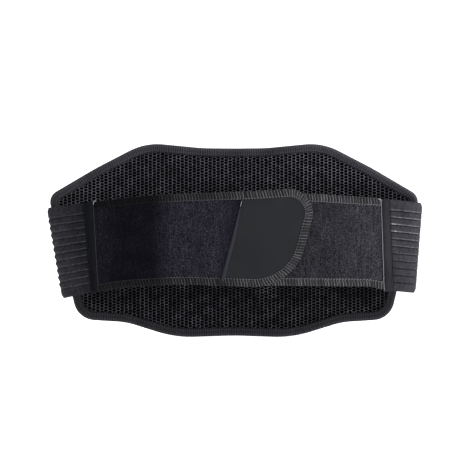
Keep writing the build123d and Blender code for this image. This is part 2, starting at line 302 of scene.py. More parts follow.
def capped(rows, columns, start=0):
    """The two end faces of a tube whose rings are stored row by row."""
    last = start + (rows - 1) * columns
    return [tuple(range(start, start + columns)), tuple(range(last + columns - 1, last - 1, -1))]


def slab(name, surface, loop, low, high, step, material, edge=None, squeeze=(1, 1), bumps=None, tone=None):
    """A layer of cloth or foam over an outline, between two heights, squeezed towards its sewn edge."""
    points, triangles = patch(loop, step)
    n, rim = len(points), len(loop)
    thin = np.ones(n)
    if edge is not None:
        share, reach = squeeze
        thin = share + (1 - share) * smooth(distance(points, edge, closed=False) / reach)
    lift = bumps(points) if bumps else np.zeros(n)
    outer, inner = (place(surface, points[:, 0], points[:, 1], side * thin + lift) for side in (high, low))
    faces = list(triangles) + [(c + n, b + n, a + n) for a, b, c in triangles]
    faces += [(i, (i + 1) % rim, (i + 1) % rim + n, i + n) for i in range(rim)]
    weave = np.column_stack([points, np.zeros(n)])
    shade = None if tone is None else np.tile(tone(points), 2)
    return made(name, np.vstack([outer, inner]), faces, material, np.vstack([weave, weave]), shade)


def ribbon(path, spots, inward, surface, height):
    """A closed profile swept along spots of a path, at distances inward and at the height of each place."""
    inward = np.broadcast_to(inward, (len(spots), np.shape(inward)[-1]))
    at = path.at(np.broadcast_to(spots[:, None], inward.shape), inward)
    heights = height(at)
    faces = grid_faces(*inward.shape, wrap_rows=path.closed, wrap_columns=True)
    if not path.closed:
        faces += capped(*inward.shape)
    weave = np.column_stack([at.reshape(-1, 2), heights.ravel()])
    return place(surface, at[..., 0], at[..., 1], heights).reshape(-1, 3), faces, weave


def tubes(centres, radius, sides=6):
    """Closed tubes along many polylines of equal length: centres is (tubes, points, 3), in metres."""
    count, length, _ = centres.shape
    run = np.gradient(centres, axis=1)
    run /= np.maximum(np.linalg.norm(run, axis=2), 1e-12)[..., None]
    up = np.broadcast_to(np.array([0.12, -0.97, 0.21]), run.shape)
    side = np.cross(run, up)
    side /= np.maximum(np.linalg.norm(side, axis=2), 1e-9)[..., None]
    up = np.cross(side, run)
    angle = np.arange(sides) * 2 * math.pi / sides
    ring = np.cos(angle)[:, None] * side[:, :, None, :] + np.sin(angle)[:, None] * up[:, :, None, :]
    verts = centres[:, :, None, :] + ring * radius
    one = grid_faces(length, sides, wrap_columns=True) + capped(length, sides)
    per = length * sides
    faces = [tuple(i + k * per for i in f) for k in range(count) for f in one]
    return verts.reshape(-1, 3), faces


def joined(parts):
    """Several (verts, faces, ...) as one list of points and faces."""
    verts, faces, start = [], [], 0
    for part in parts:
        verts.append(part[0])
        faces += [tuple(i + start for i in f) for f in part[1]]
        start += len(part[0])
    return np.vstack(verts), faces


# ---- materials

class Nodes:
    """A short way to write a node tree."""

    def __init__(self, name):
        self.material = bpy.data.materials.new(name)
        self.material.use_nodes = True
        self.tree = self.material.node_tree
        self.tree.nodes.clear()
        self.out = self.add("ShaderNodeOutputMaterial")
        self.shader = self.add("ShaderNodeBsdfPrincipled")
        self.tree.links.new(self.shader.outputs[0], self.out.inputs[0])

    def add(self, kind, **settings):
        node = self.tree.nodes.new(kind)
        for key, value in settings.items():
            setattr(node, key, value)
        return node

    def link(self, source, node, socket):
        self.tree.links.new(source, node.inputs[socket])

    def attribute(self, name, output):
        return self.add("ShaderNodeAttribute", attribute_name=name).outputs[output]

    def weave(self):
        return self.attribute("weave", "Vector")

    def shade(self):
        return self.attribute("shade", "Fac")

    def place(self):
        return self.add("ShaderNodeTexCoord").outputs["Object"]

    def scaled(self, vector, scale):
        node = self.add("ShaderNodeVectorMath", operation="MULTIPLY")
        self.link(vector, node, 0)
        node.inputs[1].default_value = scale
        return node.outputs[0]

    def texture(self, kind, vector, output, settings=None, **sockets):
        node = self.add(f"ShaderNodeTex{kind}", **(settings or {}))
        self.link(vector, node, "Vector")
        for key, value in sockets.items():
            node.inputs[key].default_value = value
        return node.outputs[output]

    def noise(self, vector, scale, detail=2.0, rough=0.5):
        return self.texture("Noise", vector, "Fac", Scale=scale, Detail=detail, Roughness=rough)

    def bands(self, vector, scale, axis="X", distortion=0.0):
        direction = {"bands_direction": axis}
        return self.texture("Wave", vector, "Fac", direction, Scale=scale, Distortion=distortion)

    def cells(self, vector, scale):
        return self.texture("Voronoi", vector, "Distance", Scale=scale)

    def math(self, operation, a, b):
        node = self.add("ShaderNodeMath", operation=operation)
        for k, value in enumerate((a, b)):
            if hasattr(value, "links"):
                self.link(value, node, k)
            else:
                node.inputs[k].default_value = value
        return node.outputs[0]

    def sum(self, *parts):
        """Values added up, each with its share."""
        total = None
        for value, share in parts:
            part = value if share == 1 else self.math("MULTIPLY", value, share)
            total = part if total is None else self.math("ADD", total, part)
        return total

    def ramp(self, value, stops):
        node = self.add("ShaderNodeValToRGB")
        self.link(value, node, "Fac")
        ramp = node.color_ramp
        while len(ramp.elements) < len(stops):
            ramp.elements.new(0.5)
        for element, (position, colour) in zip(ramp.elements, stops):
            element.position = position
            element.color = (*colour, 1)
        return node.outputs["Color"]

    def mix(self, factor, a, b, blend="MIX"):
        node = self.add("ShaderNodeMix", data_type="RGBA", blend_type=blend)
        for socket, value in ((0, factor), (6, a), (7, b)):
            if hasattr(value, "links"):
                self.link(value, node, socket)
            else:
                node.inputs[socket].default_value = value if socket == 0 else (*value, 1)
        return node.outputs[2]

    def finish(self, colour, roughness, height=None, bump=0.3, depth=0.0003, **shader):
        self.link(colour, self.shader, "Base Color")
        if hasattr(roughness, "links"):
            self.link(roughness, self.shader, "Roughness")
        else:
            self.shader.inputs["Roughness"].default_value = roughness
        if height is not None:
            node = self.add("ShaderNodeBump")
            node.inputs["Strength"].default_value = bump
            node.inputs["Distance"].default_value = depth
            self.link(height, node, "Height")
            self.link(node.outputs[0], self.shader, "Normal")
        for key, value in shader.items():
            self.shader.inputs[key.replace("_", " ").title().replace("Ior", "IOR")].default_value = value
        return self.material


def grey(value, blue=1.0, red=1.0):
    return (value * red, value, value * blue)


def per_mm(pitch):
    """The wave texture's scale for bands a pitch apart in mm."""
    return 0.314 / pitch


def net_material():
    n = Nodes("spacer_mesh_thread")
    grain = n.noise(n.place(), 900.0, 3.0, 0.6)
    patchy = n.ramp(n.noise(n.place(), 60.0, 3.0, 0.7), [(0.35, grey(0.0)), (0.7, grey(1.0))])
    lit = n.mix(grain, (0.120, 0.119, 0.150), (0.560, 0.556, 0.650))
    lit = n.mix(patchy, n.mix(0.55, lit, (0.03, 0.029, 0.036)), lit)
    # The shade attribute runs from near black, painted shade in the holes and under the straps, to the lit
    # thread colour, its painted highlight.
    colour = n.mix(n.shade(), (0.0004, 0.0004, 0.0009), lit)
    return n.finish(colour, 0.6, n.noise(n.place(), 1600.0, 2.0), 0.5, 0.0002, specular_ior_level=0.08)


def plain_cloth(name, dark, light, pitch, rough=0.9, bump=0.5, spread=40.0, ribs=None, toned=False):
    """A close weave: crossing ribs a pitch apart in mm, with slow changes of tone.
    ribs adds broader ones, across, and toned darkens the cloth by the piece's shade attribute, which holds
    painted light and shade."""
    n = Nodes(name)
    weave = n.weave()
    warp, weft = (n.bands(weave, per_mm(pitch), axis) for axis in "XY")
    height = n.sum((n.math("MULTIPLY", warp, weft), 1), (n.noise(n.place(), 1400.0, 3.0, 0.7), 1))
    fine = n.sum((height, 0.35), (n.noise(n.place(), spread, 3.0, 0.6), 0.45))
    if ribs:
        rib = n.bands(weave, per_mm(ribs), "X", 3.0)
        fine = n.sum((fine, 0.75), (rib, 0.3))
        height = n.sum((height, 0.5), (rib, 1.6))
    colour = n.mix(n.ramp(fine, [(0.2, grey(0.0)), (0.75, grey(1.0))]), dark, light)
    if toned:
        colour = n.mix(n.shade(), grey(0.0), colour)
    return n.finish(colour, rough, height, bump, 0.00025, specular_ior_level=0.04)


def pile_material(name, low, middle, high, contrast=1.0):
    """Brushed loops: a mottled tangle that stands up and down the wing, lighter where its shade attribute
    paints light on it and near black where it paints shade.
    """
    n = Nodes(name)
    upright = n.scaled(n.place(), (1.0, 1.0, 0.85))
    curl = n.noise(upright, 950.0, 4.0, 0.9)
    streak = n.noise(n.scaled(n.place(), (1.0, 1.0, 0.16)), 420.0, 2.0, 0.6)
    tangle = n.sum((curl, 0.88 * contrast), (streak, 0.12))
    lit_pile = n.ramp(tangle, [(0.41, low), (0.52, middle), (0.65, high)])
    shaded_pile = n.mix(0.13, (0.0016, 0.0016, 0.0030), lit_pile)
    colour = n.mix(n.shade(), shaded_pile, lit_pile)
    height = n.sum((curl, 1), (n.cells(upright, 760.0), -0.6))
    return n.finish(
        colour, 0.97, height, 0.8, 0.0006, specular_ior_level=0.02, sheen_weight=0.012, sheen_roughness=0.5,
        sheen_tint=(0.8, 0.76, 0.95, 1),
    )


def elastic_material(name, dark, light):
    """Woven rubber. Its shade is below 0 for painted shade, 0 to 1 for the painted highlight on a raised cord
    and above 1 for a painted white glint on exposed rubber.
    """
    n = Nodes(name)
    weave = n.weave()
    across, along = n.bands(weave, per_mm(0.8), "X", 0.8), n.bands(weave, per_mm(0.9), "Y", 0.3)
    height = n.sum((across, 1), (along, 0.5), (n.noise(n.place(), 1500.0, 3.0, 0.7), 1))
    mottle = n.noise(n.scaled(n.place(), (1.0, 1.0, 0.6)), 420.0, 3.0, 0.75)
    mixed = n.sum((height, 0.16), (n.noise(n.place(), 60.0, 3.0, 0.6), 0.25), (mottle, 0.55))
    band = n.mix(n.ramp(mixed, [(0.42, grey(0.0)), (0.80, grey(1.0))]), dark, light)
    dim = n.math("MAXIMUM", n.math("MULTIPLY", n.shade(), -1.0), 0.0)
    cord = n.mix(n.shade(), n.mix(dim, band, grey(0.0005)), grey(0.16, 1.03))
    bare_glint = n.math("MAXIMUM", n.math("SUBTRACT", n.shade(), 1.0), 0.0)
    return n.finish(n.mix(bare_glint, cord, grey(0.95)), 0.75, height, 0.5, 0.00025, specular_ior_level=0.05)


def thread_material(name, dark, light, black=None):
    n = Nodes(name)
    mixed = n.sum((n.noise(n.place(), 2200.0, 2.0), 0.5), (n.noise(n.place(), 90.0, 2.0), 0.5))
    colour = n.mix(mixed, dark, light)
    if black:
        colour = n.mix(n.shade(), black, colour)
    ply = n.bands(n.place(), 330.0, "DIAGONAL", 1.5)
    return n.finish(colour, 0.7, ply, 0.5, 0.0002, specular_ior_level=0.06)


def laminate_material():
    n = Nodes("tab_laminate")
    knit = n.math("MULTIPLY", *(n.bands(n.weave(), per_mm(0.55), axis) for axis in "XY"))
    grain = n.noise(n.place(), 1300.0, 2.0, 0.6)
    tone = n.noise(n.place(), 34.0, 3.0, 0.55)
    colour = n.mix(n.sum((grain, 0.35), (tone, 0.65)), (0.0092, 0.0107, 0.0124), (0.0190, 0.0203, 0.0224))
    rough = n.math("ADD", n.math("MULTIPLY", tone, 0.2), 0.6)
    return n.finish(colour, rough, n.sum((knit, 0.35), (grain, 1)), 0.18, 0.0001, specular_ior_level=0.06)


def hard_material(name, colour, light, rough, metallic=0.0, scale=(60.0, 60.0, 60.0)):
    n = Nodes(name)
    streak = n.noise(n.scaled(n.place(), scale), 1.0, 3.0, 0.6)
    roughness = n.math("ADD", n.math("MULTIPLY", streak, 0.25), rough)
    return n.finish(n.mix(streak, colour, light), roughness, streak, 0.1, 0.0001, metallic=metallic)


NET = net_material()
FOAM = plain_cloth("closed_foam", grey(0.0008), grey(0.003), 1.1, bump=0.3)
COVER = plain_cloth("panel_cover_cloth", grey(0.010, 1.05), grey(0.034, 1.05), 0.8, spread=30.0)
BINDING = plain_cloth(
    "edge_binding_knit", (0.009, 0.009, 0.0120), (0.080, 0.080, 0.092), 0.75, bump=0.7, ribs=2.6, toned=True,
)
TAPE = plain_cloth("seam_tape_weave", (0.0085, 0.0088, 0.0105), (0.030, 0.0305, 0.034), 0.7, bump=0.4)
# A darker copy of the seam tape for the left seam: painted shade on that side.
TAPE_SHADED = plain_cloth("shaded_tape_weave", (0.0018, 0.0024, 0.0034), (0.0095, 0.0105, 0.0125), 0.7, bump=0.4)
LINING = plain_cloth("wing_lining_knit", grey(0.010, 1.05), grey(0.038, 1.05), 0.9, spread=35.0)
PILE = pile_material("loop_pile", (0.0014, 0.0012, 0.0028), (0.0165, 0.0152, 0.0225), (0.080, 0.0765, 0.095))
# A lighter copy of the loop pile for the right wing: painted light on the side the light comes from.
PILE_LIT = pile_material(
    "lit_loop_pile", (0.0024, 0.0022, 0.0034), (0.0235, 0.0228, 0.0280), (0.105, 0.103, 0.117),
)
WELT = pile_material("welt_pile", (0.027, 0.0255, 0.034), (0.040, 0.0380, 0.049), (0.054, 0.0515, 0.064), 0.5)
# The left strap's copy is darker: painted shade on the side away from the light.
ELASTIC = {
    "left": elastic_material("ribbed_elastic_left", (0.0058, 0.0058, 0.0078), (0.045, 0.0445, 0.054)),
    "right": elastic_material("ribbed_elastic_right", (0.0080, 0.0080, 0.0103), (0.052, 0.0515, 0.061)),
}
THREAD = thread_material(
    "overlock_yarn", (0.066, 0.065, 0.073), (0.260, 0.257, 0.276), (0.0014, 0.0013, 0.0021),
)
THREAD_GREY = thread_material("seam_yarn", grey(0.018, 1.04), grey(0.06, 1.04))
LIGHT_THREAD = thread_material("seam_thread", grey(0.14, 1.04), grey(0.40, 1.04))
DARK_THREAD = thread_material("stitch_thread", grey(0.010, 1.05), grey(0.045, 1.05))
LAMINATE = laminate_material()
HOOK = plain_cloth("hook_strip", grey(0.004), grey(0.03), 1.4, rough=0.5)
STEEL = hard_material("spring_steel", grey(0.42), grey(0.62), 0.22, metallic=1.0, scale=(40.0, 40.0, 900.0))
CAP = hard_material("dipped_cap", grey(0.55), grey(0.72), 0.4)
BONE = hard_material("plastic_bone", grey(0.5), grey(0.66), 0.35)


# ---- stitches and edges

def level(points):
    return np.zeros(points.shape[:-1])


STITCH_RUN = np.array([-0.5, -0.36, 0.0, 0.36, 0.5])
STITCH_RISE = np.array([-0.55, 0.12, 0.22, 0.12, -0.55])


def stitch_tubes(path, spots, d, h, surface, length, radius, lift=level):
    """A row of sewn stitches: each rises out of the cloth, runs along it and goes in again.
    A negative h is the far face."""
    s = spots[:, None] + STITCH_RUN * length + rng.normal(0, 0.03 * length, (len(spots), 1))
    at = path.at(s, d + rng.normal(0, 0.05, (len(spots), 1)) + 0 * s)
    height = h + math.copysign(1.0, h) * STITCH_RISE + lift(at)
    return tubes(place(surface, at[..., 0], at[..., 1], height), radius * MM, 5)


def stitches(name, rows, material, body=None):
    return dressed(made(name, *joined(rows), material), body=body)


# The overlocked edge in section: inwards from the sewn edge, and height from the cloth's middle
EDGE_OUTER = np.array([
    (7.3, 2.35), (6.6, 2.7), (5.2, 2.75), (3.4, 2.65), (1.8, 2.3), (0.6, 1.75), (-0.25, 1.05), (-0.55, 0.0),
    (-0.25, -1.05), (0.6, -1.75), (1.8, -2.2), (3.4, -2.4), (5.2, -2.4), (6.6, -2.4), (7.3, -2.3),
])
EDGE_INNER = np.array([
    (7.2, -2.1), (3.6, -2.1), (1.2, -1.35), (0.35, 0.0), (1.2, 1.35), (3.6, 2.1), (7.2, 2.1),
])
YARN_SHARES = np.linspace(0.0, 1.0, 13)
YARN_SIDES = 6
CHAIN_LINE = 7.25
CHAIN_SIDES = 5
TONE_LINE = 3.5  # how far inwards the tone of the edge and its yarns is read


def overlock(name, path, first, last, surface, lift=level, proud=None, body=None, tone=None, crossed=None):
    """An overlocked edge: the wrapped edge itself, slanting yarns over it and the chain along its inner side.
    proud says how much of the relief over the face is kept at a point, where something lies close over it,
    tone how light the yarns are there, and crossed, of a distance along the path, how far the yarns cross."""
    pitch, slant, gauge, chain_gauge = 3.3, -1.9, 0.33, 0.24
    tone = tone or (lambda at: np.ones(at.shape[:-1]))

    def raised(at, height):
        over = np.maximum(np.abs(height) - WING_HALF, 0)
        keep = 1.0 if proud is None else np.where(height > 0, proud(at), 1.0)
        return np.sign(height) * (np.minimum(np.abs(height), WING_HALF) + over * keep) + lift(at)

    def turns(s):
        return s * 2 * math.pi / pitch

    spots = np.linspace(first, last, max(2, round((last - first) / 1.1)) + 1)
    lumps = 1 + 0.03 * np.sin(turns(spots)) + 0.02 * wave(np.column_stack([spots, 0 * spots]), 17.0, 3)
    profile = np.vstack([EDGE_OUTER, EDGE_INNER])
    height = profile[:, 1] * lumps[:, None]
    verts, faces, _ = ribbon(path, spots, profile[:, 0], surface, lambda at: raised(at, height))

    run = np.concatenate([[0], np.cumsum(np.linalg.norm(np.diff(EDGE_OUTER, axis=0), axis=1))])
    d, h = (np.interp(YARN_SHARES * run[-1], run, EDGE_OUTER[:, k]) for k in (0, 1))
    away = np.stack([np.gradient(h), -np.gradient(d)], 1)
    away /= np.linalg.norm(away, axis=1)[:, None]
    knots = np.arange(first + 1.2, last - 1.0, pitch)[:, None]
    centres = []
    for offset, lean, turn in ((-0.5, 1.0, 1), (0.45, 1.07, -1)):
        way = 1.0 if crossed is None or turn > 0 else 1 - 2 * crossed(knots)
        s = knots + offset + rng.normal(0, 0.15, knots.shape)
        s = s + way * slant * lean * (np.abs(YARN_SHARES - 0.5) * 2 - 0.5)
        s = np.clip(s, first + 0.1, last - 0.1)
        out = 0.08 + 0.1 * rng.random(knots.shape)
        at = path.at(s, d + away[:, 0] * out + rng.normal(0, 0.08, knots.shape))
        centres.append(place(surface, at[..., 0], at[..., 1], raised(at, h + away[:, 1] * out)))
    yarns = tubes(np.vstack(centres), gauge * MM, YARN_SIDES)
    base = 0.09 * tone(path.at(spots, TONE_LINE))
    lights = tone(path.at(knots[:, 0], TONE_LINE))
    lights = np.concatenate([lights * rng.uniform(*ends, len(knots)) for ends in ((0.35, 0.95), (0.1, 0.45))])

    s = np.arange(first + 0.2, last - 0.2, pitch / 6)
    chains = []
    for phase in (1, -1):
        at = path.at(s, CHAIN_LINE + phase * 0.38 * np.sin(turns(s)))
        height = raised(at, 2.55 + phase * 0.14 * np.cos(2 * turns(s)))
        chains.append(place(surface, at[..., 0], at[..., 1], height))
    chain = tubes(np.array(chains), chain_gauge * MM, CHAIN_SIDES)
    chain_light = (0.7 + 0.75 * np.sin(turns(s))) * tone(path.at(s, CHAIN_LINE))
    shade = np.concatenate([
        np.repeat(base, len(profile)), np.repeat(lights, YARN_SIDES * len(YARN_SHARES)),
        np.tile(np.repeat(chain_light, CHAIN_SIDES), 2),
    ])
    piece = made(name, *joined([(verts, faces), yarns, chain]), THREAD, shade=shade)
    return dressed(piece, name.removesuffix("_yarn"), body)


# ---- back panel

half = list(zip(PANEL_CORNERS, PANEL_RADII))
both = half + [((-x, z), r) for (x, z), r in reversed(half[1:-1])]
panel_loop = rounded([c for c, _ in both], [r for _, r in both], 2.0)
if area_of(panel_loop) < 0:
    panel_loop = panel_loop[::-1]
panel_ring = np.vstack([panel_loop, panel_loop[:1]])
panel_edge = Path(panel_loop, closed=True)
PANEL_SQUEEZE = (0.78, 20.0)


def net_painted_light(points):
    """Painted light on the mesh: lightest above the wings and towards the right, where the light falls, with a
    painted highlight at the far left; darkest in painted shadow just below the straps; a painted glint patch
    just below the tab; and random tone.
    """
    x, z = points[:, 0], points[:, 1]
    upper = 0.62 + 0.38 * smooth((x + 110) / 240) + 0.35 * smooth((-140 - x) / 30)
    lower = 0.30 + 0.2 * smooth((-58 - z) / 24)
    tone = lower + (upper - lower) * smooth((z + 20) / 40)
    tone = tone + 0.55 * np.exp(-(((x - 36) / 10) ** 2) - ((z + 57) / 7) ** 2)
    return np.clip(tone + 0.14 * wave(points, 28.0, 22, 3), 0, 1.1)


HONEYCOMB_PITCH = (4.55, 3.3)
OPENINGS = np.array([0.84, 0.90, 0.90, 0.84, 0.90, 0.90])[:, None]  # a hole's share of its cell, by corner


def honeycomb():
    """The spacer mesh's face: hexagonal holes in staggered columns, in a net of soft threads."""
    pitch_x, pitch_z = HONEYCOMB_PITCH
    flat, tip, half = pitch_x / 3, pitch_x * 2 / 3, pitch_z / 2
    corners = np.array([(tip, 0), (flat, half), (-flat, half), (-tip, 0), (-flat, -half), (flat, -half)])
    centres = np.array([
        (i * pitch_x, (j + 0.5 * (i % 2)) * pitch_z) for i in range(-46, 47) for j in range(-34, 36)
    ])
    centres = centres[inside(centres, panel_loop)]
    centres = centres[distance(centres, panel_loop) > 4.5]
    index, shared, cells = {}, [], []
    for centre in centres:
        cell = []
        for corner in centre + corners:
            key = (round(corner[0] * 20), round(corner[1] * 20))
            if key not in index:
                index[key] = len(shared)
                shared.append(corner)
            cell.append(index[key])
        cells.append(cell)
    shared, cells = np.array(shared), np.array(cells)
    drift = np.stack([wave(shared, 40.0, 11), wave(shared, 40.0, 12)], 1)
    shared = shared + rng.normal(0, 0.09, shared.shape) + 0.12 * drift
    middle = shared[cells].mean(1, keepdims=True)
    opening = OPENINGS + rng.normal(0, 0.012, (len(cells), 1, 1))
    rim, wall = (middle + (shared[cells] - middle) * share for share in (opening, opening + 0.02))

    n, m = len(shared), len(cells)
    verts, shades = [], []
    share, reach = PANEL_SQUEEZE
    # Painted light on the threads: a painted highlight on the crests (1.0), less on the hole rims (0.40), and
    # painted shade (0) on the underside and down the hole walls, all scaled by the mesh's painted light and a
    # random factor per point.
    for points, depth, tone in ((shared, 0.0, 1.0), (shared, 1.35, 0.0), (rim, 0.3, 0.40), (wall, 1.15, 0.0)):
        points = points.reshape(-1, 2)
        thin = share + (1 - share) * smooth(distance(points, panel_ring, closed=False) / reach)
        height = -PANEL_HALF * thin + depth - 0.15 * wave(points, 55.0, 21)
        verts.append(place(PANEL, points[:, 0], points[:, 1], height))
        shades.append(tone * net_painted_light(points) * rng.uniform(0.35, 1.15, len(points)))
    faces, once = [], {}
    for c, cell in enumerate(cells):
        for k in range(6):
            j = (k + 1) % 6
            a, b = cell[k], cell[j]
            r0, r1 = (2 * n + 6 * c + corner for corner in (k, j))
            w0, w1 = r0 + 6 * m, r1 + 6 * m
            faces += [(a, b, r1, r0), (r0, r1, w1, w0), (w0, w1, n + b, n + a)]
            pair = (min(a, b), max(a, b))
            once[pair] = once.get(pair, 0) + 1
    faces += [(a, n + a, n + b, b) for (a, b), uses in once.items() if uses == 1]
    return made("panel_mesh_net", np.vstack(verts), faces, NET, shade=np.concatenate(shades))


net = dressed(honeycomb(), "panel_mesh", "back")
foam = slab("panel_foam_core", PANEL, panel_loop, -0.9, 2.2, 6.0, FOAM, panel_ring, PANEL_SQUEEZE)
dressed(foam, "panel_foam", "back")
cover = slab(
    "panel_cover_cloth", PANEL, panel_loop, 2.25, PANEL_HALF, 4.0, COVER, panel_ring, PANEL_SQUEEZE,
    bumps=lambda p: 0.14 * wave(p, 38.0, 31),
)
dressed(cover, "panel_cover", "back")

BINDING_PROFILE = np.array([
    (9.0, -2.95), (8.9, -3.7), (8.2, -4.0), (6.6, -4.35), (4.6, -4.5), (2.6, -4.35), (1.0, -3.8), (-0.3, -2.7),
    (-0.9, -1.3), (-1.0, 0.0), (-0.9, 1.3), (-0.3, 2.7), (1.0, 3.8), (2.6, 4.35), (4.6, 4.5), (6.6, 4.35),
    (8.2, 4.0), (8.9, 3.7), (9.0, 2.95), (4.0, 2.92), (0.3, 2.6), (0.05, 0.0), (0.3, -2.6), (4.0, -2.92),
])
# Painted light across the binding by distance inwards: a painted highlight on its rolled rim and on the fold
# beside the stitches, and painted shade in the groove just inside them
BINDING_PAINTED_LIGHT = np.array([
    (-1.0, 1.4), (0.3, 1.4), (2.0, 1.15), (4.0, 0.85), (6.0, 1.0), (7.2, 1.6), (8.2, 0.5), (9.0, 1.2),
])
binding_spots = np.linspace(0, panel_edge.length, 700, endpoint=False)
pucker = 1 + 0.014 * wave(np.column_stack([binding_spots, binding_spots * 0]), 11.0, 41, 3)
inward, rise = BINDING_PROFILE.T
height = rise * pucker[:, None]
verts, faces, _ = ribbon(panel_edge, binding_spots, inward, PANEL, lambda at: height)
along = np.repeat(binding_spots[:, None], len(inward), 1)
weave = np.stack([along, np.broadcast_to(inward + rise * 0.01, along.shape), height], -1)
x, z = panel_edge.at(binding_spots, 4.0).T
# Painted light along the binding: darker along the bottom, where less light falls, lightest along the top
# towards the right
binding_painted_light = 0.43 + 0.17 * smooth((z + 30) / 60) + 0.22 * smooth(x / 140 - 0.1) * smooth(z / 40)
shade = binding_painted_light[:, None] * np.interp(inward, *BINDING_PAINTED_LIGHT.T)
binding = made("panel_edge_binding", verts, faces, BINDING, weave, shade)
dressed(binding, "panel_binding", "back")

spots = np.arange(0, panel_edge.length - 1.0, 3.3)
stitches("panel_binding_stitch", [
    stitch_tubes(panel_edge, spots, 7.6, height, PANEL, 2.3, 0.26) for height in (-4.1, 4.1)
], DARK_THREAD, "back")

CHANNEL_PROFILE = np.array([
    (0.0, 0.0), (0.05, 0.45), (1.2, 0.58), (2.5, 0.7), (3.4, 1.7), (4.6, 2.25), (7.0, 2.42), (10.0, 2.45),
    (13.0, 2.42), (15.4, 2.25), (16.6, 1.7), (17.5, 0.7), (18.8, 0.58), (19.95, 0.45), (20.0, 0.0),
])
for number in (1, 2, 3, 4):
    low, high = (np.array(corner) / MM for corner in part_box(f"stay_channel_{number}"))
    left_side = (low[0] + high[0]) / 2 - CHANNEL_PROFILE[-1, 0] / 2
    path = Path(np.column_stack([np.full(60, left_side), np.linspace(low[2], high[2], 60)]), inward=-1)
    spots = np.linspace(0, path.length, 90)
    ends = 0.25 + 0.75 * smooth(np.minimum(spots, path.length - spots) / 7.0)
    height = PANEL_HALF + CHANNEL_PROFILE[:, 1] * ends[:, None]
    verts, faces, weave = ribbon(path, spots, CHANNEL_PROFILE[:, 0], PANEL, lambda at: height)
    channel = made(f"stay_channel_{number}_tape", verts, faces, TAPE, weave)
    dressed(channel, f"stay_channel_{number}", "back")
    spots = np.arange(3.0, path.length - 2.0, 3.0)
    rows = [stitch_tubes(path, spots, d, PANEL_HALF + 0.62, PANEL, 2.1, 0.22) for d in (1.3, 18.7)]
    stitches(f"stay_channel_{number}_stitch", rows, DARK_THREAD, "back")


# ---- elastic side straps

# A strap's columns from its rear end to its seam, as the stretch of its plan and the share of that stretch
STRAP_COLUMNS = [
    (stretch, share)
    for stretch, count in (("rear", 44), ("rear turn", 6), ("side", 5), ("front turn", 20), ("front", 16))
    for share in np.linspace(0, 1, count, endpoint=False)
] + [("front", 1.0)]


def strap_column(strap, z, stretch, share):
    """The strap's outer face in plan at heights z, in one column: points and outward directions."""
    (x_top, z_top), (x_bottom, z_bottom) = strap["seam_top"], strap["seam_bottom"]
    outermost = strap["fold_x"] + strap["fold_slope"] * z
    rear_x, front_x = outermost - REAR_TURN, outermost - FRONT_TURN
    rear_y = PANEL[0] + np.sqrt((REAR_RADIUS - REAR_TURN) ** 2 - rear_x**2)
    front_y = RIGHT[0] - np.sqrt((strap["front"] - FRONT_TURN) ** 2 - front_x**2)
    seam_x = x_bottom + (x_top - x_bottom) * (z - z_bottom) / (z_top - z_bottom) + 0.4
    # the angles, from +X, at which one arc passes into the next
    anchor = math.acos(ANCHOR_X / REAR_RADIUS)
    rear_turn = np.arctan2(rear_y - PANEL[0], rear_x)
    front_turn = np.arctan2(front_y - RIGHT[0], front_x)
    seam_turn = -np.arccos(seam_x / strap["front"])
    angle, x, y, radius = {
        "rear": (anchor + (rear_turn - anchor) * share, 0.0, PANEL[0], REAR_RADIUS),
        "rear turn": (rear_turn * (1 - share), rear_x, rear_y, REAR_TURN),
        "side": (0.0, rear_x, rear_y + (front_y - rear_y) * share, REAR_TURN),
        "front turn": (front_turn * share, front_x, front_y, FRONT_TURN),
        "front": (front_turn + (seam_turn - front_turn) * share, 0.0, RIGHT[0], strap["front"]),
    }[stretch]
    angle = angle + 0 * z
    normal = np.stack([np.cos(angle), np.sin(angle)], -1)
    return np.stack([x + 0 * z, y + 0 * z], -1) + normal * radius, normal


def strap_plan(strap, z):
    """Points and outward directions in plan over a whole strap, at heights z by column."""
    return np.array([strap_column(strap, row, *column) for row, column in zip(z, STRAP_COLUMNS)]).swapaxes(0, 1)


RIBS = 11
# Painted highlight on each raised cord, from the bottom one up (on the right strap the upper cords lit and the
# lower ones in shade), and the cords with a painted glint on exposed rubber by the seam
RIB_PAINTED_LIGHT = {
    "left": np.array([0.42, 0.36, 0.45, 0.34, 0.44, 0.38, 0.42, 0.34, 0.38, 0.30, 0.26]),
    "right": np.array([0.06, 0.10, 0.16, 0.28, 0.42, 0.60, 0.80, 0.95, 1.0, 0.95, 0.85]),
}
GLINTS = {"left": [], "right": [2, 3]}
# Painted shade on the bands towards the seam tape, and in the groove under each cord
SEAM_SHADE = {"left": 0.5, "right": 0.08}
GROOVE_SHADE = {"left": 0.3, "right": 0.75}
RIB_PITCH = 7.8
RIB_STEPS = np.array([-1.3, -0.8, -0.45, 0.0, 0.45, 0.8, 1.3])  # where a cord and its groove need points

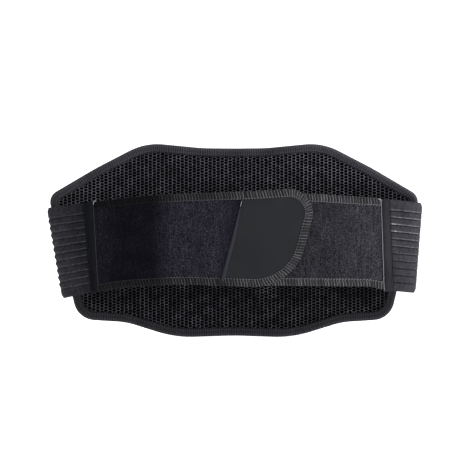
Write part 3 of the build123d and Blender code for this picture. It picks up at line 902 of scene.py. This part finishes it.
def elastic(name):
    """A ribbed elastic strap: flat woven bands between raised cords that run along it."""
    strap = STRAPS[name]
    cords = [STRAP_WIDTH / 2 + (k - RIBS // 2) * RIB_PITCH + RIB_STEPS for k in range(RIBS)]
    v = np.unique(np.round(np.concatenate([np.linspace(0, STRAP_WIDTH, 81), *cords]), 3))
    fraction = v / STRAP_WIDTH
    (xt, zt), (xb, zb) = strap["edge_top"], strap["edge_bottom"]
    z = np.repeat((zb + (zt - zb) * fraction)[None, :], len(STRAP_COLUMNS), 0)
    # a column's heights depend on its X, and its X on its heights
    for _ in range(4):
        x = strap_plan(strap, z)[0][..., 0]
        top = zt + strap["rise_top"] * (xt - x)
        bottom = zb + strap["rise_bottom"] * (xb - x)
        z = bottom + (top - bottom) * fraction
    points, normals = strap_plan(strap, z)
    along = np.concatenate([[0], np.cumsum(np.linalg.norm(np.diff(points[:, len(v) // 2], axis=0), axis=1))])
    place_v = np.broadcast_to(v, z.shape)
    spot = np.stack([np.repeat(along[:, None], len(v), 1), place_v], -1)
    offset = (place_v - STRAP_WIDTH / 2 + 0.22 * wave(spot, 9.0, 54, 3)) / RIB_PITCH
    nearest = np.clip(np.round(offset), -5, 5)
    off = (offset - nearest) * RIB_PITCH
    rib = np.exp(-(off / 0.6) ** 2)
    groove = np.exp(-((off + 1.3) / 0.6) ** 2)
    belly = 1 - np.where(np.abs(offset) < 5, np.cos(np.pi * off / RIB_PITCH) ** 2, 0.6)
    from_edge = np.minimum(place_v, STRAP_WIDTH - place_v)
    hem = smooth(from_edge / 1.6)
    turned = np.clip(1 - np.abs(normals[..., 1]), 0, 1)
    height = 0.5 * rib - 0.35 * groove + 0.16 * belly + 0.14 * wave(spot, 30.0, 51) - 0.5 * (1 - hem)
    if strap["sign"] < 0:
        height += smooth(turned * 1.6) * (belly - 0.5 * rib)
    curl = 1.6 * turned * (1 - smooth(from_edge / 5.0))
    # Painted light: highlights on the cords, a white glint by the seam, and painted shade in the grooves and
    # towards the seam
    lit = RIB_PAINTED_LIGHT[name][(nearest + 5).astype(int)] * np.clip(0.6 + 0.55 * wave(spot, 5.0, 52, 3), 0.1, 1.3)
    near_seam = smooth((along[:, None] - along[-1] + 13.0) / 9.0)
    glint = 1.1 * near_seam * np.isin(nearest, GLINTS[name]) * np.clip(0.6 + wave(spot, 6.0, 53), 0, 1)
    shaded = SEAM_SHADE[name] * smooth((along[:, None] - along[-1] + 34.0) / 34.0)
    shade = np.clip(rib * lit, 0, 1) - (GROOVE_SHADE[name] * groove + shaded) * (1 - rib) + rib * glint
    layers = []
    for depth, rough in ((0.0, 1.0), (-STRAP_THICKNESS, 0.0)):
        out = points + normals * (depth + height * rough - curl)[..., None]
        layers.append(np.stack([out[..., 0] * strap["sign"], out[..., 1], z], -1).reshape(-1, 3) * MM)
    rows, cols = z.shape
    n = rows * cols
    faces = grid_faces(rows, cols) + [tuple(reversed(f)) for f in grid_faces(rows, cols, start=n)]
    for first, count, stride in ((0, cols, 1), (n - cols, cols, 1), (0, rows, cols), (cols - 1, rows, cols)):
        rim = range(first, first + count * stride, stride)
        faces += [(a, b, n + b, n + a) for a, b in zip(rim, rim[1:])]
    weave = np.stack([spot[..., 0], place_v, 0 * z], -1).reshape(-1, 3)
    piece = made(
        f"{name}_elastic_strap", np.vstack(layers), faces, ELASTIC[name], np.vstack([weave, weave]),
        np.concatenate([shade.ravel(), np.zeros(n)]),
    )
    dressed(piece, f"{name}_elastic")
    heights = z[:, -1] - z[:, 0]
    flat = (float(heights.max()) * MM, float(along[-1]) * MM)
    area = float(((heights[1:] + heights[:-1]) / 2 * np.diff(along)).sum()) * MM**2
    return piece, flat, area


straps = {}
for name, strap in STRAPS.items():
    straps[name] = elastic(name)
    piece = straps[name][0]
    seam = np.array([
        (strap["sign"] * x, RIGHT[0] - math.sqrt(strap["front"] ** 2 - x**2), z)
        for x, z in (strap["seam_bottom"], strap["seam_top"])
    ])
    along = (seam[1] - seam[0]) / np.linalg.norm(seam[1] - seam[0])
    across = np.array([-0.2 * strap["sign"], -1.0, 0.0])
    across -= along * (across @ along)
    across /= np.linalg.norm(across)
    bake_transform(piece)


# ---- wings and tab

def free_edge(loop, first, last):
    """The part of a closed outline from one seam corner round to the other."""
    i = int(np.argmin(np.linalg.norm(loop - first, axis=1)))
    loop = np.roll(loop, -i, 0)
    j = int(np.argmin(np.linalg.norm(loop - last, axis=1)))
    return loop[:j + 1]


def crossing(path, line):
    """Distances along a path at which it crosses the line X = line[0] + line[1] * Z."""
    s = np.linspace(0, path.length, 4000)
    at = path.at(s)
    depth = at[:, 0] - line[0] - line[1] * at[:, 1]
    k = np.nonzero(depth[:-1] * depth[1:] < 0)[0]
    return s[k]


def tape_line(name):
    """A seam tape's inner edge, as X at Z = 0 and slope."""
    strap = STRAPS[name]
    (x_top, z_top), (x_bottom, z_bottom) = strap["seam_top"], strap["seam_bottom"]
    x_top, x_bottom = x_top - strap["tape"][0], x_bottom - strap["tape"][1]
    slope = (x_top - x_bottom) / (z_top - z_bottom)
    return strap["sign"] * (x_top - slope * z_top), strap["sign"] * slope


left_loop = rounded(LEFT_CORNERS, LEFT_RADII)
right_loop = rounded(RIGHT_CORNERS, RIGHT_RADII)
left_loop = left_loop if area_of(left_loop) > 0 else left_loop[::-1]
right_loop = right_loop if area_of(right_loop) > 0 else right_loop[::-1]
left_free = free_edge(left_loop, LEFT_CORNERS[-1], LEFT_CORNERS[0])
right_free = free_edge(right_loop, RIGHT_CORNERS[0], RIGHT_CORNERS[-1])
left_edge, right_edge = Path(left_free), Path(right_free)
WING_SQUEEZE = (0.5, 6.0)


def left_lift(points):
    """Slow waves of the left wing, hollow where nothing lies under it, near its strap."""
    x, z = points[..., 0], points[..., 1]
    free = smooth((-35.0 - x) / 40.0) * smooth((x + 158.0) / 14.0)
    hollow = 0.7 * np.exp(-(((x + 60) / 26) ** 2)) * np.cos(z / 40) - 1.3 * np.exp(-(((x + 112) / 30) ** 2))
    return free * hollow + 0.12 * smooth((x + 158.0) / 14.0) * wave(points, 26.0, 61)


def right_lift(points):
    """The right wing is flat under the laps and waves a little where it shows."""
    x = points[..., 0]
    return smooth((x - 100.0) / 20.0) * smooth((165.0 - x) / 14.0) * (0.35 * wave(points, 45.0, 71) - 0.3)


def tab_lift(points):
    x = points[..., 0]
    return left_lift(points) * smooth((20 - x) / 25) + 0.1 * smooth(x / 20) * wave(points, 40.0, 81)


def left_pile_painted_light(points):
    """Painted light on the left pile: painted shade near the strap, where the wing turns from the light, and
    painted light further in, a little less towards the tab, with random streaks and tone.
    """
    x = points[..., 0]
    lit_pile = smooth((x + 97) / 32) * (1 - 0.35 * smooth((x + 26) / 30))
    shaded_level = 0.04 + 0.22 * smooth((-118 - x) / 34)
    streaks = 0.07 * wave(points * np.array([1.0, 0.15]), 7.0, 63) * smooth((-100 - x) / 20)
    return np.clip(shaded_level + (0.76 - shaded_level) * lit_pile + streaks + 0.08 * wave(points, 34.0, 62), 0, 1)


def right_pile_painted_light(points):
    # Painted light: the right wing lighter towards its right, the side the light comes from, with random tone.
    return np.clip(0.62 + 0.35 * smooth((points[..., 0] - 95) / 60) + 0.1 * wave(points, 40.0, 72), 0, 1)


def left_thread_painted_light(at):
    """Painted shade on the overlock near the strap, darkest along the top, and painted light further in and
    most over the tab.
    """
    x, z = at[..., 0], at[..., 1]
    shaded_level = np.where(z > 0, 0.05, 0.16)
    lit_level = np.where(z > 0, 0.47, 0.50) + 0.38 * smooth((x + 12) / 24)
    return shaded_level + (lit_level - shaded_level) * smooth((x + 92) / 36)


left_part = clipped(left_loop, (TAB_LINE[0] - 0.05, TAB_LINE[1]), -1)
tab_part = clipped(left_loop, (TAB_LINE[0] + 0.05, TAB_LINE[1]), 1)


CORE = (-1.1, 0.9)
LINING_LEVELS = (-WING_HALF, -1.4)
FACE_LEVELS = (1.2, WING_HALF)

at_tab = []
for name, surface, loop, edge, lift, face, face_material, face_slot, tone in (
    ("left_wing", LEFT, left_part, left_free, left_lift, "pile", PILE, "loop_pile", left_pile_painted_light),
    ("right_wing", RIGHT, right_loop, right_free, right_lift, "pile", PILE_LIT, "loop_pile", right_pile_painted_light),
    ("tab", LEFT, tab_part, left_free, tab_lift, "face", LAMINATE, "tab_laminate", None),
):
    tufted = (lambda p, lift=lift: lift(p) + 0.07 * wave(p, 2.6, 91, 3)) if face == "pile" else lift
    step = 1.8 if face == "pile" else 2.5
    body = "right_wing" if name == "right_wing" else None
    for part, kind, levels, material, slot, bumps, shade in (
        (face, "cloth", FACE_LEVELS, face_material, face_slot, tufted, tone),
        ("core", "foam", CORE, FOAM, "foam", lift, None),
        ("lining", "cloth", LINING_LEVELS, LINING, "lining", lift, None),
    ):
        layer = slab(
            f"{name}_{part}_{kind}", surface, loop, *levels, step, material, edge, WING_SQUEEZE, bumps, shade,
        )
        dressed(layer, f"{name}_{part}", body)
        if not body:
            at_tab.append(layer)

left_tape_line, right_tape_line = tape_line("left"), tape_line("right")
bottom_start, top_end = crossing(left_edge, left_tape_line)
tab_start, tab_end = crossing(left_edge, TAB_LINE)
for name, first, last in (
    ("left_wing_bottom_overlock", bottom_start, tab_start - 0.1),
    ("tab_overlock", tab_start + 0.1, tab_end - 0.1),
    ("left_wing_top_overlock", tab_end + 0.1, top_end),
):
    at_tab.append(overlock(
        f"{name}_yarn", left_edge, first, last, LEFT, tab_lift, tone=left_thread_painted_light,
        crossed=lambda s: smooth((s - 90) / 20) * (1 - smooth((s - tab_end + 62) / 6)),
    ))

right_start, right_end = crossing(right_edge, right_tape_line)
overlock(
    "right_wing_overlock_yarn", right_edge, right_start, right_end, RIGHT, right_lift,
    proud=lambda at: 0.4 + 0.6 * smooth((at[..., 0] - 95) / 15), body="right_wing",
    crossed=lambda s: 0.5 + 0.5 * np.sin(s / 17),
)

# Seam tapes over a flat bone, with their stitches and the light thread along the inner side
TAPE_PROFILE = np.array([
    (0.0, 2.15), (0.005, 2.55), (0.09, 2.7), (0.17, 2.8), (0.24, 3.5), (0.33, 3.85), (0.5, 3.95), (0.67, 3.85),
    (0.76, 3.5), (0.83, 2.8), (0.91, 2.7), (0.995, 2.55), (1.0, 2.15),
])
BONE_PROFILE = np.array([(1.9, 2.45), (1.9, 2.75), (6.4, 2.75), (6.4, 2.45)])
# The loop of thread that hooks out over the tape's top end, as places along and across from its inner corner
END_LOOP = np.array([(-3.4, -0.6), (-2.0, -0.3), (-0.8, 0.1), (0.1, 0.7), (0.4, 1.9), (0.1, 3.0)])
# The left seam takes the darker tape copy, painted shade on that side.
for name, surface, lift, cloth, outer_thread, inner_thread in (
    ("left", LEFT, left_lift, TAPE_SHADED, DARK_THREAD, THREAD_GREY),
    ("right", RIGHT, right_lift, TAPE, THREAD_GREY, LIGHT_THREAD),
):
    strap = STRAPS[name]
    sign = strap["sign"]
    top_width, bottom_width = strap["tape"]
    bottom, top = (np.array(strap[end]) * (sign, 1) for end in ("seam_bottom", "seam_top"))
    line = bottom + (top - bottom) * np.linspace(-0.006, 1.008, 60)[:, None]
    path = Path(line, inward=sign)
    body = f"{name}_wing"

    def width_at(spots):
        return (bottom_width + (top_width - bottom_width) * spots / path.length)[:, None]

    spots = np.linspace(0, path.length, 80)
    ends = smooth(np.minimum(spots, path.length - spots) / 3.0)[:, None]
    sewn = TAPE_PROFILE[0, 1]
    height = sewn * (0.6 + 0.4 * ends) + (TAPE_PROFILE[:, 1] - sewn) * (0.45 + 0.55 * ends)
    inward = TAPE_PROFILE[:, 0] * width_at(spots)
    verts, faces, weave = ribbon(path, spots, inward, surface, lambda at: height + lift(at))
    tape = made(f"{name}_seam_tape_cloth", verts, faces, cloth, weave)
    dressed(tape, f"{name}_wing_seam_tape", body)
    # a bone of this scene's own, so that it stays inside the tape where that waves
    spots = np.linspace(4.5, path.length - 4.5, 40)
    inward, rise = BONE_PROFILE.T
    verts, faces, _ = ribbon(path, spots, inward, surface, lambda at: rise + lift(at))
    bone = made(f"{name}_seam_bone_strip", verts, faces, BONE)
    dressed(bone, f"{name}_wing_seam_bone", body)
    spots = np.arange(2.5, path.length - 2.0, 2.6)
    outer = stitch_tubes(path, spots, 0.9, 2.8, surface, 1.5, 0.22, lift)
    inner = stitch_tubes(path, spots, width_at(spots) - 0.7, 2.75, surface, 2.9, 0.27, lift)
    stitches(f"{name}_seam_outer_stitch", [outer], outer_thread, body)
    stitches(f"{name}_seam_inner_stitch", [inner], inner_thread, body)
    at = path.at(path.length + END_LOOP[:, 0], top_width + END_LOOP[:, 1])
    hook = tubes(place(surface, at[:, 0], at[:, 1], 3.15 + lift(at))[None], 0.42 * MM)
    stitches(f"{name}_seam_end_loop", [hook], LIGHT_THREAD, body)

# The welt along the tab's seam, pinched to a thread at its top
rib_z = np.linspace(-44.0, 46.5, 60)
rib_path = Path(np.column_stack([TAB_LINE[0] + TAB_LINE[1] * rib_z, rib_z]), inward=-1)
rib_spots = np.linspace(0, rib_path.length, 90)
# The welt in section: share of its width, height and how light it is, the last falling to 0 at its sides for
# painted shade in the grooves beside it
WELT_PROFILE = np.array([
    (-0.06, 1.9, 0.0), (-0.05, 2.45, 0.05), (0.06, 3.0, 0.9), (0.22, 3.25, 1.0), (0.5, 3.15, 1.0),
    (0.8, 2.95, 1.0), (0.97, 2.45, 0.2), (1.0, 1.9, 0.0),
])
widths = 0.9 + 3.7 * smooth((1.0 - rib_spots / rib_path.length) / 0.5) + 0.15 * np.sin(rib_spots / 5)
inward, rise, light = WELT_PROFILE.T
verts, faces, weave = ribbon(
    rib_path, rib_spots, inward * widths[:, None], LEFT, lambda at: rise + left_lift(at),
)
rib = made("tab_rib_welt", verts, faces, WELT, weave, np.tile(light, len(rib_spots)))
at_tab.append(dressed(rib, "tab_rib"))
seam_spots = np.arange(rib_path.length - 7.0, rib_path.length - 1.0, 3.1)
row = stitch_tubes(rib_path, seam_spots, 0.35, 3.2, LEFT, 3.0, 0.3, left_lift)
at_tab.append(stitches("tab_seam_stitch", [row], LIGHT_THREAD))

# Hook patch: a strip with rows of small hooks
hook_low, hook_high = (np.array(corner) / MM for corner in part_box("tab_hook"))
hook_outline = np.array([left_edge.at(s, 15.0) for s in np.linspace(tab_start, tab_end, 240)])
hook_outline = clipped(hook_outline, (TAB_LINE[0] + 6.0, TAB_LINE[1]), 1)
if area_of(hook_outline) < 0:
    hook_outline = hook_outline[::-1]
base = slab("tab_hook_strip", LEFT, hook_outline, -2.85, -2.2, 4.0, HOOK, bumps=tab_lift)
dressed(base, "tab_hook", "tab")
HOOK_PITCH = 1.9
xs, zs = (np.arange(hook_low[k], hook_high[k], HOOK_PITCH) for k in (0, 2))
grid = np.array(np.meshgrid(xs, zs)).reshape(2, -1).T
grid = grid[inside(grid, hook_outline)]
grid = grid[distance(grid, hook_outline) > 1.0]
lean, rise = np.array([(0.0, -2.8), (0.0, -3.15), (0.12, -3.4), (0.4, -3.45), (0.55, -3.2)]).T
centres = place(LEFT, grid[:, :1] + lean, grid[:, 1:] + 0 * lean, rise + tab_lift(grid)[:, None])
hooks = dressed(made("tab_hook_pile", *tubes(centres, 0.13 * MM, 4), HOOK), body="tab")

across = np.array([1.0, 0.0, -TAB_LINE[1]])
across /= np.linalg.norm(across)
for piece in at_tab:
    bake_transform(piece)


# ---- lists of the trims sewn to each wing and to the tab


for name, surface, loop, face, trims in (
    ("left_wing", LEFT, left_part, "pile", ["left_wing_bottom_overlock_yarn", "left_wing_top_overlock_yarn"]),
    ("tab", LEFT, tab_part, "face", ["tab_overlock_yarn", "tab_rib_welt", "tab_seam_stitch"]),
    ("right_wing", RIGHT, right_loop, "pile", ["right_wing_overlock_yarn"]),
):
    if name != "tab":
        side = name.split("_")[0]
        seam_parts = ("tape_cloth", "outer_stitch", "inner_stitch", "end_loop")
        trims = trims + [f"{side}_seam_{part}" for part in seam_parts]


# ---- hidden hard pieces keep their CAD shape

for node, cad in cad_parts.items():
    if node.endswith("_cap"):
        material = CAP
    elif node.endswith("_anchor_tape"):
        material = TAPE
    elif node.startswith("stay_") and "channel" not in node:
        material = STEEL
    else:
        continue
    for holder in cad.material_slots:
        holder.material = material


# ---- stage, light and camera

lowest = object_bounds()[0][2]
turn = np.linspace(0, math.pi / 2, 25)
section = [(-7.0, lowest)]
section += [(2.4 + 1.2 * math.sin(a), lowest + 1.2 * (1 - math.cos(a))) for a in turn]
section += [(3.6, lowest + 7.0)]
count = len(section)
n = Nodes("white_floor")
n.shader.inputs["Emission Color"].default_value = (1, 1, 1, 1)
n.shader.inputs["Emission Strength"].default_value = 0.85
paper = n.mix(n.noise(n.place(), 6.0), grey(0.86), grey(0.9))
floor = made(
    "floor", [(x, y, z) for x in (-7.0, 7.0) for y, z in section],
    [(k, k + 1, count + k + 1, count + k) for k in range(count - 1)], n.finish(paper, 0.9), closed=False,
)


def softbox(name, at, aim, size, power):
    data = bpy.data.lights.new(name, "AREA")
    data.shape = "RECTANGLE"
    data.size, data.size_y = size
    data.energy = power
    light = bpy.data.objects.new(name, data)
    light.location = at
    light.rotation_euler = (Vector(aim) - Vector(at)).to_track_quat("-Z", "Y").to_euler()
    bpy.context.scene.collection.objects.link(light)
    return light


softbox("overhead_softbox", (0.1, -0.5, 1.5), (0.0, 0.0, 0.0), (1.6, 1.0), 16.0)
softbox("right_softbox", (2.0, -0.66, 0.6), (0.05, 0.0, 0.0), (0.8, 1.2), 54.0)

world = bpy.data.worlds.new("studio")
world.use_nodes = True
tree = world.node_tree
fill = tree.nodes["Background"]
fill.inputs["Color"].default_value = (1, 1, 1, 1)
fill.inputs["Strength"].default_value = 0.16
seen = tree.nodes.new("ShaderNodeBackground")
seen.inputs["Color"].default_value = (1, 1, 1, 1)
seen.inputs["Strength"].default_value = 1.0
rays, mixed = tree.nodes.new("ShaderNodeLightPath"), tree.nodes.new("ShaderNodeMixShader")
tree.links.new(rays.outputs["Is Camera Ray"], mixed.inputs[0])
tree.links.new(fill.outputs[0], mixed.inputs[1])
tree.links.new(seen.outputs[0], mixed.inputs[2])
tree.links.new(mixed.outputs[0], tree.nodes["World Output"].inputs["Surface"])
bpy.context.scene.world = world
bpy.context.scene.view_settings.view_transform = "Standard"

lens = bpy.data.cameras.new("camera")
lens.lens = 139.8
lens.sensor_width = 36.0
lens.clip_end = 50.0
camera = bpy.data.objects.new("camera", lens)
camera.location = (0.00225, -2.062, 0.0056)
camera.rotation_euler = (math.pi / 2, 0, 0)
bpy.context.scene.collection.objects.link(camera)
bpy.context.scene.camera = camera
